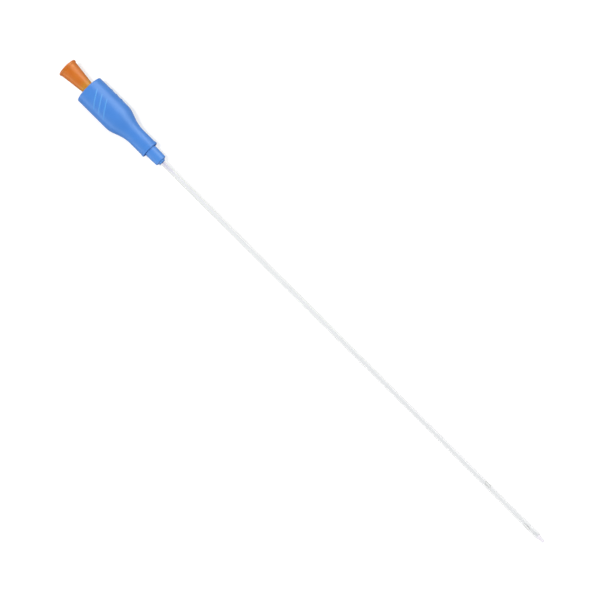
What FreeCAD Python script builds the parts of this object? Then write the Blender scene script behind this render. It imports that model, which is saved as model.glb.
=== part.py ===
# An intermittent urinary catheter: an orange drainage funnel, a clear tube with two eyes and a soft
# tip, and a blue bottle-shaped grip that slides along the tube.
#
# The whole object is turned about one axis. Each piece is drawn along +X from the funnel's mouth at 0
# towards the tip, with +Z up, and is then laid down: the axis is tilted until the grip's barrel and the
# front end of the tube touch the ground at Z = 0, and the object's box is centred over the origin.
# Sizes are in millimetres.
import FreeCAD, Part

import math
import os

import Sketcher

doc = FreeCAD.newDocument("catheter")
sheet = doc.addObject("Spreadsheet::Sheet", "sizes")

# Driving sizes. A station is a place along the axis, counted from the funnel's mouth.
SIZES = [
    # the clear tube and its eyes
    ("tube_od", 3.33),
    ("lumen_dia", 2.1),
    ("tube_length", 370.5),
    ("eye_length", 4.6),
    ("eye_width", 1.9),
    ("eye_rounding", 0.15),
    ("front_eye_back", 8.4),
    ("rear_eye_back", 44.1),
    ("rear_eye_turn", -50),
    ("front_eye_turn", 130),
    # the soft tip
    ("bond_gap", 0.03),
    ("spigot_length", 3.0),
    ("tip_cone_length", 3.1),
    ("tip_neck_dia", 1.7),
    ("tip_neck_length", 1.0),
    ("tip_ball_dia", 1.95),
    # the drainage funnel
    ("funnel_length", 45),
    ("funnel_od", 11.8),
    ("funnel_taper", 7.1),
    ("funnel_wall", 0.95),
    ("bead_proud", 0.575),
    ("bead_rounding", 0.55),
    ("bead_length", 1.8),
    ("mouth_chamfer", 0.3),
    ("throat_length", 7),
    ("ledge_thickness", 0.8),
    ("socket_depth", 11),
    ("socket_wall", 1.0),
    ("nose_chamfer", 0.4),
    # the grip's outer sleeve
    ("barrel_start", 18.8),
    ("barrel_od", 19.15),
    ("barrel_length", 23.6),
    ("barrel_wall", 1.5),
    ("mouth_rounding", 0.6),
    ("shoulder_angle", 20.3),
    ("crown_radius", 14.8),
    ("hollow_radius", 23.7),
    ("cavity_past_barrel", 1.1),
    ("neck_od", 11.4),
    ("neck_wall", 1.1),
    ("neck_length", 9.15),
    ("lip_proud", 0.29),
    ("lip_rise", 1.4),
    ("lip_fall", 0.65),
    ("lip_drop", 0.22),
    ("lip_opening", 0.4),
    ("lip_chamfer", 0.2),
    ("seat_ahead", 0.8),
    ("seat_length", 4.0),
    # the slanted ribs on the barrel
    ("rib_top_width", 0.5),
    ("rib_foot_width", 0.95),
    ("rib_height", 0.35),
    ("rib_root_depth", 0.5),
    ("rib_half_span", 33),
    ("rib_run_out", 6),
    ("rib_advance", 7.0),
    ("rib_pitch", 4.15),
    ("rib_start", 5.0),
    ("rib_turn", 11.3),
    ("ribs_in_group", 3),
    ("rib_groups", 3),
    # the grip's inner guide
    ("park_gap", 0.3),
    ("guide_od", 7.95),
    ("running_gap", 0.15),
    ("seat_gap", 0.03),
    ("flange_gap", 0.1),
    ("flange_thickness", 2.0),
    ("stub_length", 9.36),
    ("stub_taper_length", 4.0),
    ("stub_taper_depth", 0.22),
    ("bevel_length", 0.45),
    ("nose_base_dia", 5.0),
    ("nose_length", 0.9),
    ("nose_rim", 0.15),
    ("lead_in", 0.1),
]

# Sizes that follow from the driving ones.
RESULTS = [
    # stations of the tube and the tip
    ("tube_rear", "=funnel_length - socket_depth"),
    ("tube_front", "=tube_rear + tube_length"),
    ("neck_rear", "=tube_front + tip_cone_length"),
    ("neck_front", "=neck_rear + tip_neck_length"),
    ("ball_centre", "=neck_front + sqrt(tip_ball_dia^2 - tip_neck_dia^2) / 2"),
    ("tip_end", "=ball_centre + tip_ball_dia / 2"),
    # the funnel's cone, outside and inside
    ("socket_bore", "=tube_od + 2 * bond_gap"),
    ("socket_od", "=socket_bore + 2 * socket_wall"),
    ("bead_od", "=funnel_od + 2 * bead_proud"),
    ("bead_fall", "=bead_length - bead_rounding"),
    ("bead_fall_radius", "=(bead_fall^2 + bead_proud^2) / 2 / bead_proud"),
    ("cone_end", "=bead_length + (funnel_od - socket_od) / 2 / tan(funnel_taper)"),
    ("mouth_bore", "=funnel_od + 2 * bead_length * tan(funnel_taper) - 2 * funnel_wall"),
    ("throat_front", "=tube_rear - ledge_thickness"),
    ("throat_rear", "=throat_front - throat_length"),
    ("throat_bore", "=mouth_bore - 2 * throat_rear * tan(funnel_taper)"),
    # the sleeve's shoulder: a crown arc, a straight slope and a hollow arc, tangent to each other
    ("barrel_end", "=barrel_start + barrel_length"),
    ("arc_drop", "=1 - cos(shoulder_angle)"),
    ("slope_drop", "=(barrel_od - neck_od) / 2 - (crown_radius + hollow_radius) * arc_drop"),
    ("slope_start", "=barrel_end + crown_radius * sin(shoulder_angle)"),
    ("slope_end", "=slope_start + slope_drop / tan(shoulder_angle)"),
    ("neck_start", "=slope_end + hollow_radius * sin(shoulder_angle)"),
    # the lip: a low rounded bead outside, which the bore opens out under
    ("lip_start", "=neck_start + neck_length"),
    ("lip_crest", "=lip_start + lip_rise"),
    ("lip_end", "=lip_crest + lip_fall"),
    ("lip_od", "=neck_od + 2 * lip_proud"),
    ("lip_end_od", "=lip_od - 2 * lip_drop"),
    ("lip_rise_radius", "=(lip_rise^2 + lip_proud^2) / 2 / lip_proud"),
    ("lip_fall_radius", "=(lip_fall^2 + lip_drop^2) / 2 / lip_drop"),
    ("neck_bore", "=neck_od - 2 * neck_wall"),
    ("lip_bore", "=neck_bore + 2 * lip_opening"),
    ("lip_bore_radius", "=((lip_rise + lip_fall)^2 + lip_opening^2) / 2 / lip_opening"),
    ("seat_front", "=neck_start + seat_ahead"),
    ("seat_rear", "=seat_front - seat_length"),
    ("barrel_bore", "=barrel_od - 2 * barrel_wall"),
    ("cavity_start", "=barrel_end + cavity_past_barrel"),
    # a rib is an arc of a ring in a plane slanted to the barrel; the ring is a little smaller than the
    # barrel's slanted section, so the rib stands proud in its middle and sinks away at both ends
    ("rib_crest", "=barrel_od / 2 + rib_height"),
    ("rib_slant", "=atan(rib_advance / (barrel_od * sin(rib_half_span))) / 1 deg"),
    ("rib_end_across", "=barrel_od / 2 * sin(rib_half_span) / cos(rib_slant)"),
    ("rib_end_up", "=barrel_od / 2 * cos(rib_half_span)"),
    ("rib_middle_up", "=(rib_crest^2 - rib_end_across^2 - rib_end_up^2) / 2 / (rib_crest - rib_end_up)"),
    ("rib_ring", "=rib_crest - rib_middle_up"),
    ("rib_reach", "=asin(rib_end_across / rib_ring) / 1 deg"),
    ("rib_middle", "=barrel_start + rib_start + rib_advance / 2"),
    ("rib_root_ring", "=rib_ring - rib_height - rib_root_depth"),
    ("rib_root_width", "=rib_foot_width + (rib_foot_width - rib_top_width) * rib_root_depth / rib_height"),
    # the guide
    ("guide_bore", "=tube_od + 2 * running_gap"),
    ("guide_rear", "=funnel_length + park_gap"),
    ("seat_bore", "=guide_od + 2 * seat_gap"),
    ("flange_od", "=neck_bore - 2 * flange_gap"),
    ("flange_rear", "=seat_rear - flange_thickness"),
    ("bevel_start", "=lip_end + stub_length"),
    ("stub_taper_start", "=bevel_start - stub_taper_length"),
    ("stub_end_dia", "=guide_od - 2 * stub_taper_depth"),
    ("bevel_end", "=bevel_start + bevel_length"),
    ("nose_end", "=bevel_end + nose_length"),
    ("nose_dia", "=guide_bore + 2 * nose_rim"),
    # how the object lies: on the front edge of the barrel and the front end of the tube
    ("tilt", "=atan((barrel_od - tube_od) / 2 / (tube_front - barrel_end))"),
    ("box_front", "=ball_centre * cos(tilt) + tip_ball_dia / 2"),
    ("bead_ring", "=bead_od / 2 - bead_rounding"),
    ("box_rear", "=bead_rounding * cos(tilt) - bead_ring * sin(tilt) - bead_rounding"),
    ("place_x", "=-(box_front + box_rear) / 2"),
    ("place_z", "=barrel_od / 2 * cos(tilt) + barrel_end * sin(tilt)"),
]


def fill_sheet():
    """Writes both lists into the sheet: the name in column A, the value or formula in column B."""
    for row, (alias, value) in enumerate(SIZES + RESULTS, start=1):
        sheet.set(f"A{row}", alias)
        sheet.set(f"B{row}", str(value))
        sheet.setAlias(f"B{row}", alias)
    doc.recompute()


def number(expression):
    """The present value of an expression on the sheet."""
    value = sheet.evalExpression(expression)
    return float(getattr(value, "Value", value))


def bind(item, path, expression):
    """Ties one property or constraint to the sheet."""
    item.setExpression(path, expression)


def origin_feature(body, role):
    """One of the body's own origin planes or axes."""
    return next(item for item in body.Origin.OriginFeatures if item.Role == role)


def new_sketch(body, name, plane):
    """A sketch on one of the body's own origin planes."""
    sketch = body.newObject("Sketcher::SketchObject", name)
    sketch.AttachmentSupport = [(origin_feature(body, plane), "")]
    sketch.MapMode = "FlatFace"
    return sketch


def arc_between(start, end, radius):
    """The arc from start to end; a positive radius bends left, a negative one right."""
    middle_x = (start[0] + end[0]) / 2
    middle_y = (start[1] + end[1]) / 2
    along = (end[0] - start[0], end[1] - start[1])
    chord = math.hypot(*along)
    height = math.sqrt(max(radius**2 - chord**2 / 4, 0))
    side = math.copysign(height / chord, radius)
    centre = FreeCAD.Vector(middle_x - along[1] * side, middle_y + along[0] * side, 0)
    circle = Part.Circle(centre, FreeCAD.Vector(0, 0, 1), abs(radius))
    first, last = (start, end) if radius > 0 else (end, start)
    first_angle = math.atan2(first[1] - centre.y, first[0] - centre.x)
    last_angle = math.atan2(last[1] - centre.y, last[0] - centre.x)
    if last_angle < first_angle:
        last_angle += 2 * math.pi
    return Part.ArcOfCircle(circle, first_angle, last_angle)


def draw_outline(sketch, corners):
    """Draws a closed outline in a sketch and ties it to the sheet.

    A corner is a pair of expressions, along and across the axis. A third item is the radius of the arc
    that leads to the next corner: positive bends left, negative right. Without it a straight line leads on.
    """
    places = [(number(corner[0]), number(corner[1])) for corner in corners]
    starts = []
    ends = []
    for index, corner in enumerate(corners):
        start = places[index]
        end = places[(index + 1) % len(corners)]
        if len(corner) == 2:
            piece = Part.LineSegment(FreeCAD.Vector(*start, 0), FreeCAD.Vector(*end, 0))
            edge = sketch.addGeometry(piece, False)
            starts.append((edge, 1))
            ends.append((edge, 2))
            continue
        radius = number(corner[2])
        edge = sketch.addGeometry(arc_between(start, end, radius), False)
        starts.append((edge, 1 if radius > 0 else 2))
        ends.append((edge, 2 if radius > 0 else 1))
        rule = sketch.addConstraint(Sketcher.Constraint("Radius", edge, abs(radius)))
        bind(sketch, f"Constraints[{rule}]", f"abs({corner[2]})")
    for index, corner in enumerate(corners):
        sketch.addConstraint(Sketcher.Constraint("Coincident", *ends[index - 1], *starts[index]))
        # the sketch's own axes are -1, along, and -2, across
        for way, own_axis, place in (("DistanceX", -2, 0), ("DistanceY", -1, 1)):
            value = places[index][place]
            if corner[place] == "0":
                sketch.addConstraint(Sketcher.Constraint("PointOnObject", *starts[index], own_axis))
                continue
            rule = sketch.addConstraint(Sketcher.Constraint(way, -1, 1, *starts[index], value))
            bind(sketch, f"Constraints[{rule}]", corner[place])


def turned_body(name, corners):
    """A body turned about its X axis from one closed outline."""
    body = doc.addObject("PartDesign::Body", name)
    body.Label = name
    sketch = new_sketch(body, name + "_outline", "XZ_Plane")
    draw_outline(sketch, corners)
    turned = body.newObject("PartDesign::Revolution", name + "_turned")
    turned.Profile = sketch
    turned.ReferenceAxis = (sketch, ["H_Axis"])
    turned.Angle = 360
    doc.recompute()
    return body


def finish_edges(body, kind, name, size, wanted):
    """Gives the edges of the body for which wanted(edge) is true a Fillet or a Chamfer."""
    base = body.Tip
    names = [f"Edge{index}" for index, edge in enumerate(base.Shape.Edges, start=1) if wanted(edge)]
    if not names:
        raise RuntimeError(f"{name}: no such edge")
    finish = body.newObject(f"PartDesign::{kind}", name)
    finish.Base = (base, names)
    bind(finish, "Radius" if kind == "Fillet" else "Size", size)
    doc.recompute()


def ring_at(station, diameter):
    """A test for the circular edge at a station with a diameter, both given as expressions."""
    along = number(station)
    radius = number(diameter) / 2

    def test(edge):
        curve = edge.Curve
        if not isinstance(curve, Part.Circle):
            return False
        return abs(curve.Center.x - along) < 1e-4 and abs(curve.Radius - radius) < 1e-4

    return test


def make_funnel():
    """The moulded funnel: a rolled rim, a thin-walled cone, and the socket the tube is bonded into."""
    body = turned_body(
        "drainage_funnel",
        [
            ("0", "sizes.mouth_bore / 2"),
            ("0", "sizes.bead_ring", "-sizes.bead_rounding"),
            ("sizes.bead_rounding", "sizes.bead_od / 2", "-sizes.bead_fall_radius"),
            ("sizes.bead_length", "sizes.funnel_od / 2"),
            ("sizes.cone_end", "sizes.socket_od / 2"),
            ("sizes.funnel_length", "sizes.socket_od / 2"),
            ("sizes.funnel_length", "sizes.socket_bore / 2"),
            ("sizes.tube_rear", "sizes.socket_bore / 2"),
            ("sizes.tube_rear", "sizes.lumen_dia / 2"),
            ("sizes.throat_front", "sizes.lumen_dia / 2"),
            ("sizes.throat_rear", "sizes.throat_bore / 2"),
        ],
    )
    nose = ring_at("sizes.funnel_length", "sizes.socket_od")
    finish_edges(body, "Chamfer", "funnel_nose", "sizes.nose_chamfer", nose)
    mouth = ring_at("0", "sizes.mouth_bore")
    finish_edges(body, "Chamfer", "funnel_mouth", "sizes.mouth_chamfer", mouth)
    return body


def cut_eye(body, name, back, turn):
    """Cuts one rounded-off drainage eye through one side of the tube and rounds its outer edge."""
    sketch = new_sketch(body, name + "_outline", "XY_Plane")
    bind(sketch, "AttachmentOffset", f"placement(vector(0; 0; 0); rotation(vector(1; 0; 0); {turn}))")
    middle = f"sizes.tube_front - {back}"
    straight = "(sizes.eye_length - sizes.eye_width) / 2"
    half_width = "sizes.eye_width / 2"
    draw_outline(
        sketch,
        [
            (f"{middle} - {straight}", f"-{half_width}"),
            (f"{middle} + {straight}", f"-{half_width}", half_width),
            (f"{middle} + sizes.eye_length / 2", "0", half_width),
            (f"{middle} + {straight}", half_width),
            (f"{middle} - {straight}", half_width, half_width),
            (f"{middle} - sizes.eye_length / 2", "0", half_width),
        ],
    )
    before = body.Tip.Shape.Volume
    pocket = body.newObject("PartDesign::Pocket", name)
    pocket.Profile = sketch
    pocket.Reversed = True
    bind(pocket, "Length", "sizes.tube_od")
    doc.recompute()
    if pocket.Shape.Volume >= before:
        raise RuntimeError(f"{name}: the eye cuts nothing")

    middle_along = number(middle)
    reach = number("sizes.eye_length") / 2 + 0.1
    radius = number("sizes.tube_od") / 2

    def outer_edge(edge):
        points = edge.discretize(5)
        near = all(abs(point.x - middle_along) < reach for point in points)
        return near and all(abs(math.hypot(point.y, point.z) - radius) < 1e-4 for point in points)

    finish_edges(body, "Fillet", name + "_edge", "sizes.eye_rounding", outer_edge)


def make_tube():
    """The extruded tube with its two eyes, on opposite sides."""
    body = turned_body(
        "catheter_tube",
        [
            ("sizes.tube_rear", "sizes.lumen_dia / 2"),
            ("sizes.tube_front", "sizes.lumen_dia / 2"),
            ("sizes.tube_front", "sizes.tube_od / 2"),
            ("sizes.tube_rear", "sizes.tube_od / 2"),
        ],
    )
    cut_eye(body, "rear_eye", "sizes.rear_eye_back", "sizes.rear_eye_turn")
    cut_eye(body, "front_eye", "sizes.front_eye_back", "sizes.front_eye_turn")
    return body


def make_tip():
    """The soft tip: a spigot in the lumen, a short cone, a thin neck and a small ball."""
    return turned_body(
        "soft_tip",
        [
            ("sizes.tube_front - sizes.spigot_length", "0"),
            ("sizes.tube_front - sizes.spigot_length", "sizes.lumen_dia / 2 - sizes.bond_gap"),
            ("sizes.tube_front", "sizes.lumen_dia / 2 - sizes.bond_gap"),
            ("sizes.tube_front", "sizes.tube_od / 2"),
            ("sizes.neck_rear", "sizes.tip_neck_dia / 2"),
            ("sizes.neck_front", "sizes.tip_neck_dia / 2", "-sizes.tip_ball_dia / 2"),
            ("sizes.ball_centre", "sizes.tip_ball_dia / 2", "-sizes.tip_ball_dia / 2"),
            ("sizes.tip_end", "0"),
        ],
    )


def add_ribs(body):
    """Turns one rib about its ring's slanted axis, then repeats it along the barrel and round it."""
    sketch = new_sketch(body, "rib_section", "XZ_Plane")
    ring_centre = (
        "vector(sizes.rib_middle; sizes.rib_middle_up * cos(sizes.rib_turn);"
        " sizes.rib_middle_up * sin(sizes.rib_turn))"
    )
    ring_turn = "rotation(vector(1; 0; 0); sizes.rib_turn) * rotation(vector(0; 1; 0); sizes.rib_slant)"
    bind(sketch, "AttachmentOffset", f"placement({ring_centre}; {ring_turn})")
    draw_outline(
        sketch,
        [
            ("-sizes.rib_root_width / 2", "sizes.rib_root_ring"),
            ("sizes.rib_root_width / 2", "sizes.rib_root_ring"),
            ("sizes.rib_top_width / 2", "sizes.rib_ring"),
            ("-sizes.rib_top_width / 2", "sizes.rib_ring"),
        ],
    )

    before = body.Tip.Shape.Volume
    rib = body.newObject("PartDesign::Revolution", "grip_rib")
    rib.Profile = sketch
    rib.ReferenceAxis = (sketch, ["H_Axis"])
    rib.Midplane = True
    bind(rib, "Angle", "2 * (sizes.rib_reach + sizes.rib_run_out)")
    doc.recompute()
    if rib.Shape.Volume <= before:
        raise RuntimeError("grip_rib: the rib adds nothing")

    pattern = body.newObject("PartDesign::MultiTransform", "rib_pattern")
    pattern.Originals = [rib]
    along_barrel = body.newObject("PartDesign::LinearPattern", "ribs_along")
    along_barrel.Direction = (origin_feature(body, "X_Axis"), [""])
    along_barrel.Mode = "Spacing"
    bind(along_barrel, "Offset", "sizes.rib_pitch")
    bind(along_barrel, "Occurrences", "sizes.ribs_in_group")
    round_barrel = body.newObject("PartDesign::PolarPattern", "ribs_round")
    round_barrel.Axis = (origin_feature(body, "X_Axis"), [""])
    round_barrel.Angle = 360
    bind(round_barrel, "Occurrences", "sizes.rib_groups")
    pattern.Transformations = [along_barrel, round_barrel]
    body.Tip = pattern
    doc.recompute()


def make_sleeve():
    """The bottle-shaped sleeve: barrel, shoulder, neck and beaded lip, hollow from end to end."""
    body = turned_body(
        "grip_sleeve",
        [
            ("sizes.barrel_start", "sizes.barrel_od / 2"),
            ("sizes.barrel_end", "sizes.barrel_od / 2", "-sizes.crown_radius"),
            ("sizes.slope_start", "sizes.barrel_od / 2 - sizes.crown_radius * sizes.arc_drop"),
            (
                "sizes.slope_end",
                "sizes.neck_od / 2 + sizes.hollow_radius * sizes.arc_drop",
                "sizes.hollow_radius",
            ),
            ("sizes.neck_start", "sizes.neck_od / 2"),
            ("sizes.lip_start", "sizes.neck_od / 2", "-sizes.lip_rise_radius"),
            ("sizes.lip_crest", "sizes.lip_od / 2", "-sizes.lip_fall_radius"),
            ("sizes.lip_end", "sizes.lip_end_od / 2"),
            ("sizes.lip_end", "sizes.lip_bore / 2", "-sizes.lip_bore_radius"),
            ("sizes.lip_start", "sizes.neck_bore / 2"),
            ("sizes.seat_front", "sizes.neck_bore / 2"),
            ("sizes.seat_front", "sizes.seat_bore / 2"),
            ("sizes.seat_rear", "sizes.seat_bore / 2"),
            ("sizes.seat_rear", "sizes.neck_bore / 2"),
            ("sizes.cavity_start", "sizes.barrel_bore / 2"),
            ("sizes.barrel_start", "sizes.barrel_bore / 2"),
        ],
    )
    outer_mouth = ring_at("sizes.barrel_start", "sizes.barrel_od")
    finish_edges(body, "Fillet", "barrel_mouth", "sizes.mouth_rounding", outer_mouth)
    rings = [
        ring_at("sizes.barrel_start", "sizes.barrel_bore"),
        ring_at("sizes.lip_end", "sizes.lip_end_od"),
        ring_at("sizes.lip_end", "sizes.lip_bore"),
    ]

    def thin_edge(edge):
        return any(ring(edge) for ring in rings)

    finish_edges(body, "Chamfer", "thin_edges", "sizes.lip_chamfer", thin_edge)
    add_ribs(body)
    return body


def make_guide():
    """The guide bush: it seats in the sleeve's neck by its flange and runs on the tube."""
    return turned_body(
        "grip_guide",
        [
            ("sizes.guide_rear", "sizes.guide_bore / 2 + sizes.lead_in"),
            ("sizes.guide_rear", "sizes.guide_od / 2"),
            ("sizes.flange_rear", "sizes.guide_od / 2"),
            ("sizes.flange_rear", "sizes.flange_od / 2"),
            ("sizes.seat_rear", "sizes.flange_od / 2"),
            ("sizes.seat_rear", "sizes.guide_od / 2"),
            ("sizes.stub_taper_start", "sizes.guide_od / 2"),
            ("sizes.bevel_start", "sizes.stub_end_dia / 2"),
            ("sizes.bevel_end", "sizes.nose_base_dia / 2"),
            ("sizes.nose_end", "sizes.nose_dia / 2"),
            ("sizes.nose_end", "sizes.guide_bore / 2 + sizes.lead_in"),
            ("sizes.nose_end - sizes.lead_in", "sizes.guide_bore / 2"),
            ("sizes.guide_rear + sizes.lead_in", "sizes.guide_bore / 2"),
        ],
    )


def lay_down(body):
    """Places a piece with the rest: tilted down to the tip, on the ground, centred over the origin."""
    base = "vector(sizes.place_x; 0; sizes.place_z)"
    bind(body, "Placement", f"placement({base}; rotation(vector(0; 1; 0); sizes.tilt))")


fill_sheet()
pieces = [make_funnel(), make_tube(), make_tip(), make_sleeve(), make_guide()]
for piece in pieces:
    lay_down(piece)
doc.recompute()

for item in doc.Objects:
    if "Invalid" in item.State or "Error" in item.State:
        raise RuntimeError(f"{item.Name} failed: {item.State}")
for piece in pieces:
    if piece.Shape.isNull() or not piece.Shape.isValid() or not piece.Shape.Solids:
        raise RuntimeError(f"{piece.Label} has no valid solid")

os.makedirs("parts", exist_ok=True)
for piece in pieces:
    piece.Shape.exportStep(f"parts/{piece.Label}.step")
    box = piece.Shape.BoundBox
    print(
        f"{piece.Label}: {len(piece.Shape.Solids)} solid, {piece.Shape.Volume:.1f} mm3,"
        f" X {box.XMin:.2f} to {box.XMax:.2f}, Z {box.ZMin:.3f} to {box.ZMax:.3f}"
    )
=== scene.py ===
import math

import bmesh
import bpy
from mathutils import Matrix, Vector


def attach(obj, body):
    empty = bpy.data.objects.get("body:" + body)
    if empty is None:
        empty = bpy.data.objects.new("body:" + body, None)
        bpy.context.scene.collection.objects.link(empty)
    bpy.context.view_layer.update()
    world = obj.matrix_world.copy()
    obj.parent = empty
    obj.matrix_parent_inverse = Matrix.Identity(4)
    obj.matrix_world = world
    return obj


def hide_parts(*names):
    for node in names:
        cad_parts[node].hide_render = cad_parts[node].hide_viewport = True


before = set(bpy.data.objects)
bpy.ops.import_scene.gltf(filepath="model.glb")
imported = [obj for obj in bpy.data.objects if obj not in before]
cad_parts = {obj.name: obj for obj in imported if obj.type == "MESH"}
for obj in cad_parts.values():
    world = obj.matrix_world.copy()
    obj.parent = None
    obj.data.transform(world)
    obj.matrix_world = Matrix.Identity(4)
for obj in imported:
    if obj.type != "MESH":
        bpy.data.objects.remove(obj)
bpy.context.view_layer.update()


# Camera: the catheter is photographed from straight above, at arm's length, lying across the
# picture from the upper left to the lower right.
CAMERA_PLACE = (-0.0018, -0.0003, 0.900)
CAMERA_LENS, CAMERA_SENSOR = 86.9, 36.0
CAMERA_TURN = math.radians(44.88)

camera_data = bpy.data.cameras.new("overhead_camera")
camera_data.lens = CAMERA_LENS
camera_data.sensor_width = CAMERA_SENSOR
camera = bpy.data.objects.new("overhead_camera", camera_data)
camera.location = CAMERA_PLACE
camera.rotation_euler = (0.0, 0.0, CAMERA_TURN)
bpy.context.collection.objects.link(camera)
bpy.context.scene.camera = camera
bpy.context.scene.view_settings.view_transform = "Standard"


# Table top: a plain white laminate sheet that the catheter lies on. Seen directly it is lifted to
# white and keeps the soft shadow of what lies on it. Most of what is seen of it through something
# clear is plain white, so that its shadow doesn't show as grain in the clear tube.
TABLE_HALF = 1.6
TABLE_GREY = 0.45
TABLE_LIFT = 0.62
CLEAR_SHARE = 0.85


def add_node(tree, kind, inputs=None, **settings):
    """Adds a node with its settings, and sets or links the inputs that are named."""
    node = tree.nodes.new(kind)
    for name, value in settings.items():
        setattr(node, name, value)
    for name, value in (inputs or {}).items():
        if isinstance(value, bpy.types.NodeSocket):
            tree.links.new(value, node.inputs[name])
        else:
            node.inputs[name].default_value = value
    return node


def new_material(name):
    """An empty material and its node tree."""
    material = bpy.data.materials.new(name)
    material.use_nodes = True
    material.node_tree.nodes.clear()
    return material, material.node_tree


def seen_directly(tree):
    """One for a ray from the camera or through something clear, and nought for any other."""
    path = add_node(tree, "ShaderNodeLightPath")
    return add_node(tree, "ShaderNodeMath", {0: path.outputs["Is Camera Ray"],
                    1: path.outputs["Is Transmission Ray"]}, operation="MAXIMUM").outputs[0]


table_mesh = bpy.data.meshes.new("table_top")
corners = [(x * TABLE_HALF, y * TABLE_HALF, 0.0)
           for x, y in [(-1, -1), (1, -1), (1, 1), (-1, 1)]]
table_mesh.from_pydata(corners, [], [(0, 1, 2, 3)])
table = bpy.data.objects.new("table_top", table_mesh)
bpy.context.collection.objects.link(table)

laminate, tree = new_material("white_table_laminate")
lift = add_node(tree, "ShaderNodeMath", {0: seen_directly(tree), 1: TABLE_LIFT},
                operation="MULTIPLY")
dull = add_node(tree, "ShaderNodeBsdfDiffuse", {"Color": (TABLE_GREY, TABLE_GREY, TABLE_GREY, 1.0)})
glow = add_node(tree, "ShaderNodeEmission", {"Strength": lift.outputs[0]})
both = add_node(tree, "ShaderNodeAddShader", {0: dull.outputs[0], 1: glow.outputs[0]})
path = add_node(tree, "ShaderNodeLightPath")
through = add_node(tree, "ShaderNodeMath", {0: path.outputs["Is Transmission Ray"], 1: CLEAR_SHARE},
                   operation="MULTIPLY")
plain = add_node(tree, "ShaderNodeEmission", {"Strength": 1.0})
laid = add_node(tree, "ShaderNodeMixShader", {0: through.outputs[0], 1: both.outputs[0],
                2: plain.outputs[0]})
add_node(tree, "ShaderNodeOutputMaterial", {"Surface": laid.outputs[0]})
table_mesh.materials.append(laminate)


# Light: a dim white room, a small lamp overhead that leans a little, for the thin shadow, and a
# broad soft lamp along each side. Two long warm strips show only as glints.
ROOM_LEVEL = 0.36
SOFT_LAMPS = [
    # name, towards the lamp, level, spread in degrees
    ("overhead_lamp", (-0.12, -0.13, 0.98), 1.5, 5.0),
    ("upper_side_lamp", (0.0, 0.9, 0.43), 1.2, 40.0),
    ("lower_side_lamp", (0.0, -0.9, 0.43), 0.9, 40.0),
]
STRIP_LAMPS = [
    # name, lean towards +Y in degrees, width in metres at a metre's distance, level
    ("upper_strip", 58.0, 0.95, 43.0),
    ("lower_strip", -88.0, 0.22, 16.0),
]
STRIP_LENGTH = 4.0
STRIP_MIDDLE = -0.15
STRIP_COLOUR = (1.0, 0.96, 0.72)

room = bpy.data.worlds.new("white_room")
bpy.context.scene.world = room
room.use_nodes = True
tree = room.node_tree
tree.nodes.clear()
dim = add_node(tree, "ShaderNodeBackground",
               {"Color": (1.0, 1.0, 1.0, 1.0), "Strength": ROOM_LEVEL})
white = add_node(tree, "ShaderNodeBackground", {"Color": (1.0, 1.0, 1.0, 1.0), "Strength": 1.0})
mixed = add_node(tree, "ShaderNodeMixShader",
                 {0: seen_directly(tree), 1: dim.outputs[0], 2: white.outputs[0]})
add_node(tree, "ShaderNodeOutputWorld", {"Surface": mixed.outputs[0]})

for name, towards, level, spread in SOFT_LAMPS:
    data = bpy.data.lights.new(name, "SUN")
    data.energy = level
    data.angle = math.radians(spread)
    lamp = bpy.data.objects.new(name, data)
    lamp.rotation_euler = Vector(towards).to_track_quat("Z", "Y").to_euler()
    lamp.visible_glossy = False
    lamp.visible_transmission = False
    bpy.context.collection.objects.link(lamp)

for name, lean, width, level in STRIP_LAMPS:
    data = bpy.data.lights.new(name, "AREA")
    data.shape = "RECTANGLE"
    data.size = STRIP_LENGTH
    data.size_y = width
    data.energy = level
    data.color = STRIP_COLOUR
    lamp = bpy.data.objects.new(name, data)
    lean = math.radians(lean)
    lamp.location = (STRIP_MIDDLE, math.sin(lean), math.cos(lean))
    lamp.rotation_euler = (-lean, 0.0, 0.0)
    lamp.visible_diffuse = False
    lamp.visible_transmission = False
    bpy.context.collection.objects.link(lamp)


# Drainage funnel: the end that the catheter drains through, with a rolled rim for the bag's
# connector and a socket that the tube is bonded into. It is injection moulded in soft PVC, tinted
# orange right through.
AXIS_TILT = math.radians(1.251415)
MOUTH = Vector((-0.204912762, 0.0, 0.010498715))
LAID_DOWN = Matrix.Translation(MOUTH) @ Matrix.Rotation(AXIS_TILT, 4, "Y")

FUNNEL_MOUTH_BORE = 10.348
FUNNEL_OUTLINE = [
    # mm from the mouth, radius in mm, rounding in mm, as in the outlines of the other pieces
    (0.0, FUNNEL_MOUTH_BORE / 2, 0.3), (0.0, 5.925, 0.0), (0.0737, 6.2, 0.0), (0.161, 6.314, 0.0),
    (0.275, 6.401, 0.0), (0.55, 6.475, 0.2), (1.2, 6.341, 0.3), (1.8, 5.9, 0.5),
    (27.53, 2.695, 2.0), (45.0, 2.695, 0.35), (45.0, 1.695, 0.05), (34.0, 1.695, 0.05),
    (34.0, 1.05, 0.05), (33.2, 1.05, 0.3), (26.2, 1.911, 1.5),
]
EASE_STEPS, EASE_REACH = 5, 0.45
MOULDED_EDGE = math.radians(50)


def linear(code):
    """The linear colour of an sRGB hex code."""
    parts = [int(code[i:i + 2], 16) / 255 for i in (1, 3, 5)]
    parts = [p / 12.92 if p <= 0.04045 else ((p + 0.055) / 1.055) ** 2.4 for p in parts]
    return (*parts, 1.0)


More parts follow.
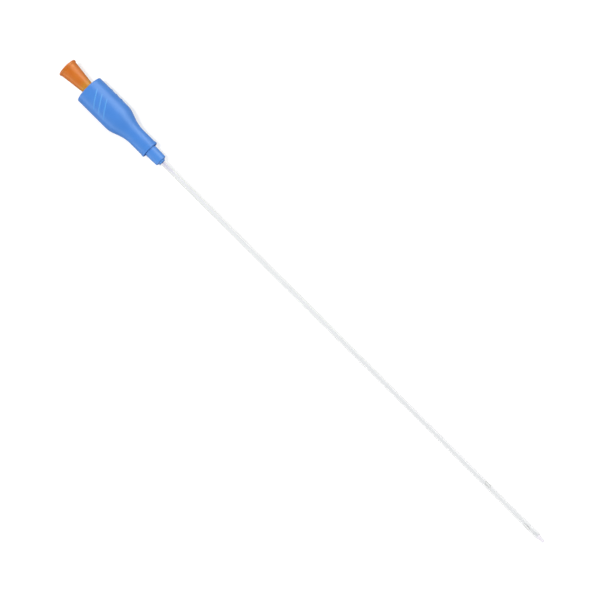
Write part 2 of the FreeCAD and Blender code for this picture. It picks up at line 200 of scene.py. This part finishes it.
def eased(outline):
    """The outline with each corner rounded over the length that its third number gives."""
    points = []
    for index, (along, radius, ease) in enumerate(outline):
        corner = Vector((along, radius))
        if ease == 0.0:
            points.append(corner)
            continue
        before = Vector(outline[index - 1][:2]) - corner
        after = Vector(outline[(index + 1) % len(outline)][:2]) - corner
        start = corner + before.normalized() * min(ease, before.length * EASE_REACH)
        end = corner + after.normalized() * min(ease, after.length * EASE_REACH)
        for step in range(EASE_STEPS + 1):
            part = step / EASE_STEPS
            points.append(start.lerp(corner, part).lerp(corner.lerp(end, part), part))
    return points


def turned(name, outline, segments, material):
    """A closed piece turned about the catheter's axis from its outline in mm, laid in its place."""
    mesh = bmesh.new()
    rings = []
    for along, radius in eased(outline):
        count = 1 if radius < 1e-6 else segments
        ring = []
        for index in range(count):
            angle = 2 * math.pi * index / segments
            point = Vector((along, radius * math.cos(angle), radius * math.sin(angle))) / 1000
            ring.append(mesh.verts.new(LAID_DOWN @ point))
        rings.append(ring)
    solid_core = len(rings[0]) == 1 and len(rings[-1]) == 1
    for number in range(len(rings) - 1 if solid_core else len(rings)):
        ring, following = rings[number], rings[(number + 1) % len(rings)]
        for index in range(segments):
            around = (index + 1) % segments
            face = [ring[index % len(ring)], ring[around % len(ring)],
                    following[around % len(following)], following[index % len(following)]]
            mesh.faces.new(list(dict.fromkeys(face)))
    bmesh.ops.recalc_face_normals(mesh, faces=mesh.faces)
    data = bpy.data.meshes.new(name)
    mesh.to_mesh(data)
    mesh.free()
    data.shade_smooth()
    data.set_sharp_from_angle(angle=MOULDED_EDGE)
    data.materials.append(material)
    piece = bpy.data.objects.new(name, data)
    bpy.context.collection.objects.link(piece)
    return piece


# Soft PVC tinted right through: satin and slightly milky, so that light goes a little way into it,
# with faint flow streaks about 1.1 mm wide and 18 mm long. It is drawn yellower towards the grip,
# which is a guess: the change runs between two distances in metres from the mouth.
FLOW_STREAK, FLOW_STRETCH = 1.1, 0.06
YELLOWS_FROM, YELLOWS_TO = 0.013, 0.0185

tinted_pvc, tree = new_material("moulded_tinted_pvc")
place = add_node(tree, "ShaderNodeTexCoord")
along = add_node(tree, "ShaderNodeMapping", {"Vector": place.outputs["Object"],
                 "Rotation": (0.0, -AXIS_TILT, 0.0), "Scale": (FLOW_STRETCH, 1.0, 1.0)})
streak = add_node(tree, "ShaderNodeTexNoise", {"Vector": along.outputs[0],
                  "Scale": 1000 / FLOW_STREAK, "Detail": 4.0})
flow = add_node(tree, "ShaderNodeMix", {0: streak.outputs["Fac"], 6: linear("#c8660f"),
                7: linear("#d57a2b")}, data_type="RGBA")
turned_back = add_node(tree, "ShaderNodeMapping", {"Vector": place.outputs["Object"],
                       "Location": -(Matrix.Rotation(-AXIS_TILT, 3, "Y") @ MOUTH),
                       "Rotation": (0.0, -AXIS_TILT, 0.0)})
station = add_node(tree, "ShaderNodeSeparateXYZ", {"Vector": turned_back.outputs[0]})
yellowing = add_node(tree, "ShaderNodeMapRange", {"Value": station.outputs["X"],
                    "From Min": YELLOWS_FROM, "From Max": YELLOWS_TO})
shade = add_node(tree, "ShaderNodeMix", {0: yellowing.outputs[0], 6: flow.outputs[2],
                 7: linear("#cf9330")}, data_type="RGBA")
gloss = add_node(tree, "ShaderNodeMapRange", {"Value": streak.outputs["Fac"], "To Min": 0.34,
                 "To Max": 0.46})
ripple = add_node(tree, "ShaderNodeBump", {"Height": streak.outputs["Fac"], "Strength": 0.12,
                  "Distance": 0.0002})
skin = add_node(tree, "ShaderNodeBsdfPrincipled", {"Base Color": shade.outputs[2],
                "Roughness": gloss.outputs[0], "Normal": ripple.outputs[0], "IOR": 1.53,
                "Specular IOR Level": 0.36, "Subsurface Weight": 0.15,
                "Subsurface Radius": (1.0, 0.35, 0.1), "Subsurface Scale": 0.0008})
add_node(tree, "ShaderNodeOutputMaterial", {"Surface": skin.outputs[0]})

funnel = turned("funnel_moulding", FUNNEL_OUTLINE, 128, tinted_pvc)
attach(funnel, "catheter")
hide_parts("drainage_funnel")


# Catheter tube: extruded in clear soft PVC with one lumen, cut to length, with two drainage eyes
# punched near its front end and their edges polished smooth.
TUBE_REAR, TUBE_FRONT = 34.0, 404.5
TUBE_RADIUS, LUMEN_RADIUS = 1.665, 1.05
RING_SPACING, RING_COUNT = 6.175, 61
EYE_LENGTH, EYE_WIDTH = 4.6, 1.9
EYE_RING_SPACING, EYE_RINGS = 0.25, 12
PUNCH_SIDES, PUNCH_REACH = 48, 2.5
CUT_EDGE = math.radians(35)
BOND_MARGIN = 0.01
WALL_BOUNCES = 32
EYES = [
    # middle in mm from the mouth, turn about the axis in degrees
    (360.4, -50.0), (396.1, 130.0),
]

# Light runs round inside the clear wall many times before it comes out, and is followed to its end.
bpy.context.scene.cycles.max_bounces = WALL_BOUNCES
bpy.context.scene.cycles.glossy_bounces = WALL_BOUNCES
bpy.context.scene.cycles.transmission_bounces = WALL_BOUNCES


def tube_outline():
    """The tube's section, with close rings near the eyes so that their edges are cut cleanly."""
    stations = {TUBE_REAR + step * RING_SPACING for step in range(RING_COUNT)}
    for middle, _ in EYES:
        stations.update(middle + step * EYE_RING_SPACING
                        for step in range(-EYE_RINGS, EYE_RINGS + 1))
    outer = [(place, TUBE_RADIUS, 0.0) for place in sorted(stations)]
    inner = [(place, LUMEN_RADIUS, 0.0) for place in sorted(stations, reverse=True)]
    return inner + outer


def eye_cutter(middle, turn, material):
    """A slot-shaped punch that reaches from the axis out through one side of the tube."""
    mesh = bmesh.new()
    half = (EYE_LENGTH - EYE_WIDTH) / 2
    edge = []
    for step in range(PUNCH_SIDES):
        angle = 2 * math.pi * (step + 0.5) / PUNCH_SIDES
        shift = half if math.cos(angle) > 0 else -half
        edge.append((middle + shift + EYE_WIDTH / 2 * math.cos(angle),
                     EYE_WIDTH / 2 * math.sin(angle)))
    spin = Matrix.Rotation(math.radians(turn), 4, "X")
    low = [mesh.verts.new(LAID_DOWN @ (spin @ Vector((x, y, 0.0)) / 1000)) for x, y in edge]
    high = [mesh.verts.new(LAID_DOWN @ (spin @ Vector((x, y, PUNCH_REACH)) / 1000))
            for x, y in edge]
    mesh.faces.new(low)
    mesh.faces.new(high)
    for index in range(PUNCH_SIDES):
        around = (index + 1) % PUNCH_SIDES
        mesh.faces.new([low[index], low[around], high[around], high[index]])
    bmesh.ops.recalc_face_normals(mesh, faces=mesh.faces)
    data = bpy.data.meshes.new("eye_cutter")
    mesh.to_mesh(data)
    mesh.free()
    data.materials.append(material)
    cutter = bpy.data.objects.new("eye_cutter", data)
    bpy.context.collection.objects.link(cutter)
    return cutter


def bonded(piece, start, end, number):
    """Gives a piece's faces between two stations the material of that number."""
    laid_back = LAID_DOWN.inverted()
    for face in piece.data.polygons:
        if start < (laid_back @ face.center).x * 1000 < end:
            face.material_index = number


# Clear extruded PVC: water-clear with the faintest haze, a soft gloss, and die lines 1.1 mm wide
# and 14 mm long drawn out along it. It is greyest down its middle and pale towards its edges,
# painted shade for its own shadow seen through it, and faintly violet beside the grip, painted
# shade and reflection of the blue grip, which fades between two places along X in metres.
DIE_LINE, DIE_STRETCH = 1.1, 0.08
VIOLET_TO, CLEAR_FROM = -0.1235, -0.112

clear_pvc, tree = new_material("extruded_clear_pvc")
place = add_node(tree, "ShaderNodeTexCoord")
drawn = add_node(tree, "ShaderNodeMapping", {"Vector": place.outputs["Object"],
                 "Rotation": (0.0, -AXIS_TILT, 0.0), "Scale": (DIE_STRETCH, 1.0, 1.0)})
haze = add_node(tree, "ShaderNodeTexNoise", {"Vector": drawn.outputs[0],
                "Scale": 1000 / DIE_LINE})
gloss = add_node(tree, "ShaderNodeMapRange", {"Value": haze.outputs["Fac"], "To Min": 0.02,
                 "To Max": 0.06})
ripple = add_node(tree, "ShaderNodeBump", {"Height": haze.outputs["Fac"], "Strength": 0.1,
                  "Distance": 0.000004})
far = add_node(tree, "ShaderNodeSeparateXYZ", {"Vector": place.outputs["Object"]})
# Painted shade and reflection of the blue grip: violet beside the grip, fading out along X.
painted_grip_shade = add_node(tree, "ShaderNodeMapRange", {"Value": far.outputs["X"],
                     "From Min": VIOLET_TO, "From Max": CLEAR_FROM})
shade = add_node(tree, "ShaderNodeMix", {0: painted_grip_shade.outputs[0], 6: linear("#e4e3ee"),
                 7: linear("#f2f3f4")}, data_type="RGBA")
# Painted shade: greyer down the middle and paler towards the edges, for the tube's own shadow seen
# through it.
slant = add_node(tree, "ShaderNodeLayerWeight", {"Blend": 0.5})
edge = add_node(tree, "ShaderNodeMapRange", {"Value": slant.outputs["Facing"], "From Min": 0.08,
                "From Max": 0.4})
painted_through_shade = add_node(tree, "ShaderNodeMix", {0: edge.outputs[0], 6: shade.outputs[2],
                 7: linear("#fefefe")}, data_type="RGBA")
skin = add_node(tree, "ShaderNodeBsdfPrincipled", {"Base Color": painted_through_shade.outputs[2],
                "Roughness": gloss.outputs[0], "Normal": ripple.outputs[0], "IOR": 1.48,
                "Transmission Weight": 1.0, "Specular Tint": (0.0, 0.0, 0.0, 1.0),
                "Coat Weight": 0.06, "Coat Roughness": 0.4, "Coat IOR": 1.5})
add_node(tree, "ShaderNodeOutputMaterial", {"Surface": skin.outputs[0]})

# The same PVC where an eye was punched and polished with heat: pale and frosted, so that light
# soaks through it from both sides.
frosted_pvc, tree = new_material("heat_polished_pvc")
place = add_node(tree, "ShaderNodeTexCoord")
haze = add_node(tree, "ShaderNodeTexNoise", {"Vector": place.outputs["Object"],
                "Scale": 1000 / DIE_LINE})
gloss = add_node(tree, "ShaderNodeMapRange", {"Value": haze.outputs["Fac"], "To Min": 0.3,
                 "To Max": 0.4})
ripple = add_node(tree, "ShaderNodeBump", {"Height": haze.outputs["Fac"], "Strength": 0.1,
                  "Distance": 0.00005})
skin = add_node(tree, "ShaderNodeBsdfPrincipled", {"Base Color": linear("#f2f4f5"),
                "Roughness": gloss.outputs[0], "Normal": ripple.outputs[0], "IOR": 1.48,
                "Specular IOR Level": 0.2})
soaked = add_node(tree, "ShaderNodeBsdfTranslucent", {"Color": linear("#f2f4f5"),
                  "Normal": ripple.outputs[0]})
both = add_node(tree, "ShaderNodeMixShader", {0: 0.5, 1: skin.outputs[0], 2: soaked.outputs[0]})
add_node(tree, "ShaderNodeOutputMaterial", {"Surface": both.outputs[0]})

# The same PVC where it is bonded: the joint is melted together, so it bends hardly any light and
# shows only as a faint haze.
bonded_pvc, tree = new_material("bonded_pvc")
place = add_node(tree, "ShaderNodeTexCoord")
haze = add_node(tree, "ShaderNodeTexNoise", {"Vector": place.outputs["Object"],
                "Scale": 1000 / DIE_LINE})
gloss = add_node(tree, "ShaderNodeMapRange", {"Value": haze.outputs["Fac"], "To Min": 0.1,
                 "To Max": 0.2})
ripple = add_node(tree, "ShaderNodeBump", {"Height": haze.outputs["Fac"], "Strength": 0.1,
                  "Distance": 0.00005})
skin = add_node(tree, "ShaderNodeBsdfPrincipled", {"Base Color": linear("#f6f7f8"),
                "Roughness": gloss.outputs[0], "Normal": ripple.outputs[0], "IOR": 1.04,
                "Transmission Weight": 1.0, "Specular Tint": (0.0, 0.0, 0.0, 1.0)})
add_node(tree, "ShaderNodeOutputMaterial", {"Surface": skin.outputs[0]})

tube = turned("clear_tube", tube_outline(), 64, clear_pvc)
for middle, turn in EYES:
    cutter = eye_cutter(middle, turn, frosted_pvc)
    cut = tube.modifiers.new("eye", "BOOLEAN")
    cut.operation = "DIFFERENCE"
    cut.solver = "EXACT"
    cut.material_mode = "TRANSFER"
    cut.object = cutter
    graph = bpy.context.evaluated_depsgraph_get()
    tube.data = bpy.data.meshes.new_from_object(tube.evaluated_get(graph))
    tube.modifiers.clear()
    bpy.data.objects.remove(cutter)
tube.data.materials.append(bonded_pvc)
bonded(tube, TUBE_FRONT - BOND_MARGIN, TUBE_FRONT + BOND_MARGIN, 2)
tube.data.shade_smooth()
tube.data.set_sharp_from_angle(angle=CUT_EDGE)
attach(tube, "catheter")
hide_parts("catheter_tube")


# Soft tip: a short moulded end of a softer, faintly violet polymer, with a spigot that is bonded
# into the lumen, a slim neck and a small ball that leads the catheter in.
TIP_BOND_REAR, TIP_BOND_FRONT = 401.0, 404.55
TIP_OUTLINE = [
    (401.5, 0.0, 0.0), (401.5, 1.02, 0.15), (404.5, 1.02, 0.0), (404.53, 1.6, 0.03),
    (404.6, 1.66, 0.05), (407.6, 0.87, 0.6), (408.5, 0.85, 0.2), (408.75, 0.93, 0.1),
    (409.08, 0.975, 0.2), (409.5, 0.88, 0.15), (409.8, 0.66, 0.15), (409.99, 0.33, 0.12),
    (410.05, 0.0, 0.0),
]

# A soft clear polymer, faintly violet and a little hazy, with a grain of about 0.7 mm in its gloss.
TIP_GRAIN = 0.7

tip_polymer, tree = new_material("moulded_tip_polymer")
place = add_node(tree, "ShaderNodeTexCoord")
haze = add_node(tree, "ShaderNodeTexNoise", {"Vector": place.outputs["Object"],
                "Scale": 1000 / TIP_GRAIN})
gloss = add_node(tree, "ShaderNodeMapRange", {"Value": haze.outputs["Fac"], "To Min": 0.04,
                 "To Max": 0.1})
ripple = add_node(tree, "ShaderNodeBump", {"Height": haze.outputs["Fac"], "Strength": 0.1,
                  "Distance": 0.00005})
skin = add_node(tree, "ShaderNodeBsdfPrincipled", {"Base Color": linear("#f1eef6"),
                "Roughness": gloss.outputs[0], "Normal": ripple.outputs[0], "IOR": 1.38,
                "Transmission Weight": 1.0, "Specular Tint": (0.0, 0.0, 0.0, 1.0),
                "Coat Weight": 0.3, "Coat Roughness": 0.3, "Coat IOR": 1.5})
add_node(tree, "ShaderNodeOutputMaterial", {"Surface": skin.outputs[0]})

tip = turned("tip_moulding", TIP_OUTLINE, 64, tip_polymer)
tip.data.materials.append(bonded_pvc)
bonded(tip, TIP_BOND_REAR, TIP_BOND_FRONT, 1)
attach(tip, "catheter")
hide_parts("soft_tip")


# Grip sleeve: the soft bottle-shaped shell that is pinched to hold the tube. It is moulded in a
# thermoplastic elastomer with a fine satin texture, and a faint mould line runs round its neck.
BARREL_REAR, BARREL_FRONT, BARREL_RADIUS = 18.8, 42.4, 9.575
NECK_REAR, NECK_RADIUS = 59.768, 5.7
CROWN_RADIUS, HOLLOW_RADIUS = 14.8, 23.7
SHOULDER_ANGLE, SHOULDER_STEPS = math.radians(20.3), 12

SLEEVE_OUTLINE = [(BARREL_REAR, BARREL_RADIUS, 0.6), (BARREL_FRONT, BARREL_RADIUS, 0.0)]
for step in range(1, SHOULDER_STEPS + 1):
    turn = SHOULDER_ANGLE * step / SHOULDER_STEPS
    SLEEVE_OUTLINE.append((BARREL_FRONT + CROWN_RADIUS * math.sin(turn),
                           BARREL_RADIUS - CROWN_RADIUS * (1 - math.cos(turn)), 0.0))
for step in range(SHOULDER_STEPS + 1):
    turn = SHOULDER_ANGLE * (SHOULDER_STEPS - step) / SHOULDER_STEPS
    SLEEVE_OUTLINE.append((NECK_REAR - HOLLOW_RADIUS * math.sin(turn),
                           NECK_RADIUS + HOLLOW_RADIUS * (1 - math.cos(turn)), 0.0))
SLEEVE_OUTLINE += [
    # the mould line round the neck
    (61.25, 5.7, 0.05), (61.42, 5.76, 0.05), (61.59, 5.7, 0.05),
    # the lip
    (68.918, 5.7, 0.4), (69.6, 5.916, 0.3), (70.318, 5.99, 0.2), (70.7, 5.92, 0.1),
    (70.968, 5.77, 0.1), (70.968, 5.0, 0.15), (70.0, 4.709, 0.3),
    # the bore of the neck with the guide's seat, and the inside of the barrel
    (68.918, 4.6, 0.5), (60.568, 4.6, 0.05), (60.568, 4.005, 0.05), (56.568, 4.005, 0.05),
    (56.568, 4.6, 0.05), (43.5, 8.075, 1.0), (18.8, 8.075, 0.25),
]

# Thermoplastic elastomer: an even satin blue with a slightly uneven tint. Its real texture is about
# 0.1 mm, too fine to show, so it is drawn at 0.4 mm; the clouds in the tint are 8 mm across.
SATIN_GRAIN, TINT_CLOUD = 0.4, 8.0

soft_blue, tree = new_material("moulded_soft_elastomer")
place = add_node(tree, "ShaderNodeTexCoord")
grain = add_node(tree, "ShaderNodeTexNoise", {"Vector": place.outputs["Object"],
                 "Scale": 1000 / SATIN_GRAIN, "Detail": 3.0})
cloud = add_node(tree, "ShaderNodeTexNoise", {"Vector": place.outputs["Object"],
                 "Scale": 1000 / TINT_CLOUD, "Detail": 2.0})
shade = add_node(tree, "ShaderNodeMix", {0: cloud.outputs["Fac"], 6: linear("#4583d5"),
                 7: linear("#4e8bdb")}, data_type="RGBA")
gloss = add_node(tree, "ShaderNodeMapRange", {"Value": grain.outputs["Fac"], "To Min": 0.3,
                 "To Max": 0.42})
ripple = add_node(tree, "ShaderNodeBump", {"Height": grain.outputs["Fac"], "Strength": 0.1,
                  "Distance": 0.0001})
skin = add_node(tree, "ShaderNodeBsdfPrincipled", {"Base Color": shade.outputs[2],
                "Roughness": gloss.outputs[0], "Normal": ripple.outputs[0], "IOR": 1.5,
                "Specular IOR Level": 0.3})
add_node(tree, "ShaderNodeOutputMaterial", {"Surface": skin.outputs[0]})

sleeve = turned("sleeve_shell", SLEEVE_OUTLINE, 160, soft_blue)
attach(sleeve, "grip")
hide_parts("grip_sleeve")


# Grip ribs: nine slanted finger ribs, three on each third of the barrel, moulded in one with the
# sleeve. Each is a round-topped bar on a slanted ring, so that it rises from the barrel and sinks
# back, and its crest, polished in the mould, is glossier than the satin barrel and drawn paler,
# a painted highlight.
RIB_BAR, RIB_CREST = 0.5, 11.355
RIB_SIZES = {
    "Bar Radius": RIB_BAR / 1000, "Ring Radius": (RIB_CREST - RIB_BAR) / 1000,
    "Reach": math.radians(36.5), "Slant": math.radians(33.87), "Ring Centre Up": -1.43 / 1000,
    "First Rib": 27.3 / 1000, "Pitch": 4.15 / 1000, "Ribs In Group": 3, "Groups": 3,
    "Turn": math.radians(11.3),
}


def named_inputs(tree, sizes):
    """Adds the tree's named inputs and its geometry output, and returns the input node."""
    for name, value in sizes.items():
        kind = "NodeSocketInt" if isinstance(value, int) else "NodeSocketFloat"
        tree.interface.new_socket(name, in_out="INPUT", socket_type=kind)
    tree.interface.new_socket("Geometry", in_out="OUTPUT", socket_type="NodeSocketGeometry")
    return tree.nodes.new("NodeGroupInput")


def grown(name, tree, sizes):
    """The plain mesh that a geometry tree makes with these sizes."""
    piece = bpy.data.objects.new(name, bpy.data.meshes.new(name))
    bpy.context.collection.objects.link(piece)
    grower = piece.modifiers.new(name, "NODES")
    grower.node_group = tree
    for item in tree.interface.items_tree:
        if item.in_out == "INPUT" and item.name in sizes:
            grower[item.identifier] = sizes[item.name]
    graph = bpy.context.evaluated_depsgraph_get()
    piece.data = bpy.data.meshes.new_from_object(piece.evaluated_get(graph))
    piece.modifiers.clear()
    return piece


# The same elastomer against polished steel: glossier than the barrel, and drawn paler as a painted
# highlight, so that each crest shows as a pale line, with a grain of 0.55 mm.
CREST_GRAIN = 0.55

crest_highlight_blue, tree = new_material("soft_elastomer_painted_highlight")
place = add_node(tree, "ShaderNodeTexCoord")
grain = add_node(tree, "ShaderNodeTexNoise", {"Vector": place.outputs["Object"],
                 "Scale": 1000 / CREST_GRAIN})
# Painted highlight: the crest's blue is paler than the barrel's.
shade = add_node(tree, "ShaderNodeMix", {0: grain.outputs["Fac"], 6: linear("#559ce6"),
                 7: linear("#5fa4ea")}, data_type="RGBA")
gloss = add_node(tree, "ShaderNodeMapRange", {"Value": grain.outputs["Fac"], "To Min": 0.22,
                 "To Max": 0.3})
ripple = add_node(tree, "ShaderNodeBump", {"Height": grain.outputs["Fac"], "Strength": 0.1,
                  "Distance": 0.0001})
skin = add_node(tree, "ShaderNodeBsdfPrincipled", {"Base Color": shade.outputs[2],
                "Roughness": gloss.outputs[0], "Normal": ripple.outputs[0], "IOR": 1.5,
                "Specular IOR Level": 0.4})
add_node(tree, "ShaderNodeOutputMaterial", {"Surface": skin.outputs[0]})

rib_tree = bpy.data.node_groups.new("slanted_ribs", "GeometryNodeTree")
given = named_inputs(rib_tree, RIB_SIZES).outputs
sweep = add_node(rib_tree, "ShaderNodeMath", {0: given["Reach"], 1: 2.0}, operation="MULTIPLY")
begin = add_node(rib_tree, "ShaderNodeMath", {0: given["Reach"], 1: -1.0}, operation="MULTIPLY")
arc = add_node(rib_tree, "GeometryNodeCurveArc", {"Resolution": 48, "Radius": given["Ring Radius"],
               "Start Angle": begin.outputs[0], "Sweep Angle": sweep.outputs[0]})
section = add_node(rib_tree, "GeometryNodeCurvePrimitiveCircle", {"Resolution": 16,
                   "Radius": given["Bar Radius"]})
bar = add_node(rib_tree, "GeometryNodeCurveToMesh", {"Curve": arc.outputs[0],
               "Profile Curve": section.outputs[0], "Fill Caps": True})
stand = add_node(rib_tree, "ShaderNodeCombineXYZ", {"Y": -math.pi / 2, "Z": given["Slant"]})
centre = add_node(rib_tree, "ShaderNodeCombineXYZ", {"X": given["First Rib"],
                  "Z": given["Ring Centre Up"]})
rib = add_node(rib_tree, "GeometryNodeTransform", {"Geometry": bar.outputs[0],
               "Translation": centre.outputs[0], "Rotation": stand.outputs[0]})
step = add_node(rib_tree, "ShaderNodeCombineXYZ", {"X": given["Pitch"]})
row = add_node(rib_tree, "GeometryNodeMeshLine", {"Count": given["Ribs In Group"],
               "Offset": step.outputs[0]})
group = add_node(rib_tree, "GeometryNodeInstanceOnPoints", {"Points": row.outputs[0],
                 "Instance": rib.outputs[0]})
spots = add_node(rib_tree, "GeometryNodeMeshLine", {"Count": given["Groups"],
                 "Offset": (0.0, 0.0, 0.0)})
index = add_node(rib_tree, "GeometryNodeInputIndex")
share = add_node(rib_tree, "ShaderNodeMath", {0: 2 * math.pi, 1: given["Groups"]},
                 operation="DIVIDE")
angle = add_node(rib_tree, "ShaderNodeMath", {0: index.outputs[0], 1: share.outputs[0],
                 2: given["Turn"]}, operation="MULTIPLY_ADD")
round_axis = add_node(rib_tree, "ShaderNodeCombineXYZ", {"X": angle.outputs[0]})
ring = add_node(rib_tree, "GeometryNodeInstanceOnPoints", {"Points": spots.outputs[0],
                "Instance": group.outputs[0], "Rotation": round_axis.outputs[0]})
laid = add_node(rib_tree, "GeometryNodeTransform", {"Geometry": ring.outputs[0],
                "Translation": MOUTH, "Rotation": (0.0, AXIS_TILT, 0.0)})
real = add_node(rib_tree, "GeometryNodeRealizeInstances", {"Geometry": laid.outputs[0]})
smooth = add_node(rib_tree, "GeometryNodeSetShadeSmooth", {"Geometry": real.outputs[0]})
painted = add_node(rib_tree, "GeometryNodeSetMaterial", {"Geometry": smooth.outputs[0],
                   "Material": crest_highlight_blue})
add_node(rib_tree, "NodeGroupOutput", {"Geometry": painted.outputs[0]})

ribs = grown("grip_ribs", rib_tree, RIB_SIZES)
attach(ribs, "grip")
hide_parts("grip_sleeve")


# Grip guide: the harder bush that snaps into the neck of the sleeve and runs on the tube. It is
# moulded in polypropylene of the same blue, a little glossier, and its front end is bevelled.
GUIDE_OUTLINE = [
    (45.3, 1.915, 0.05), (45.3, 3.975, 0.2), (54.568, 3.975, 0.1), (54.568, 4.5, 0.15),
    (56.568, 4.5, 0.05), (56.568, 3.975, 0.05), (76.328, 3.975, 0.6), (80.328, 3.755, 0.12),
    (80.778, 2.5, 0.12), (81.678, 1.965, 0.02), (81.678, 1.915, 0.02), (81.578, 1.815, 0.06),
    (45.4, 1.815, 0.06),
]

# Polypropylene: a harder, even blue with a finer satin than the sleeve, drawn at 0.3 mm so that it
# shows.
FINE_SATIN = 0.3

hard_blue, tree = new_material("moulded_polypropylene")
place = add_node(tree, "ShaderNodeTexCoord")
grain = add_node(tree, "ShaderNodeTexNoise", {"Vector": place.outputs["Object"],
                 "Scale": 1000 / FINE_SATIN, "Detail": 2.0})
shade = add_node(tree, "ShaderNodeMix", {0: grain.outputs["Fac"], 6: linear("#4b88d9"),
                 7: linear("#5491df")}, data_type="RGBA")
gloss = add_node(tree, "ShaderNodeMapRange", {"Value": grain.outputs["Fac"], "To Min": 0.34,
                 "To Max": 0.44})
ripple = add_node(tree, "ShaderNodeBump", {"Height": grain.outputs["Fac"], "Strength": 0.1,
                  "Distance": 0.0001})
skin = add_node(tree, "ShaderNodeBsdfPrincipled", {"Base Color": shade.outputs[2],
                "Roughness": gloss.outputs[0], "Normal": ripple.outputs[0], "IOR": 1.49,
                "Specular IOR Level": 0.3})
add_node(tree, "ShaderNodeOutputMaterial", {"Surface": skin.outputs[0]})

guide = turned("guide_bush", GUIDE_OUTLINE, 128, hard_blue)
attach(guide, "grip")
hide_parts("grip_guide")
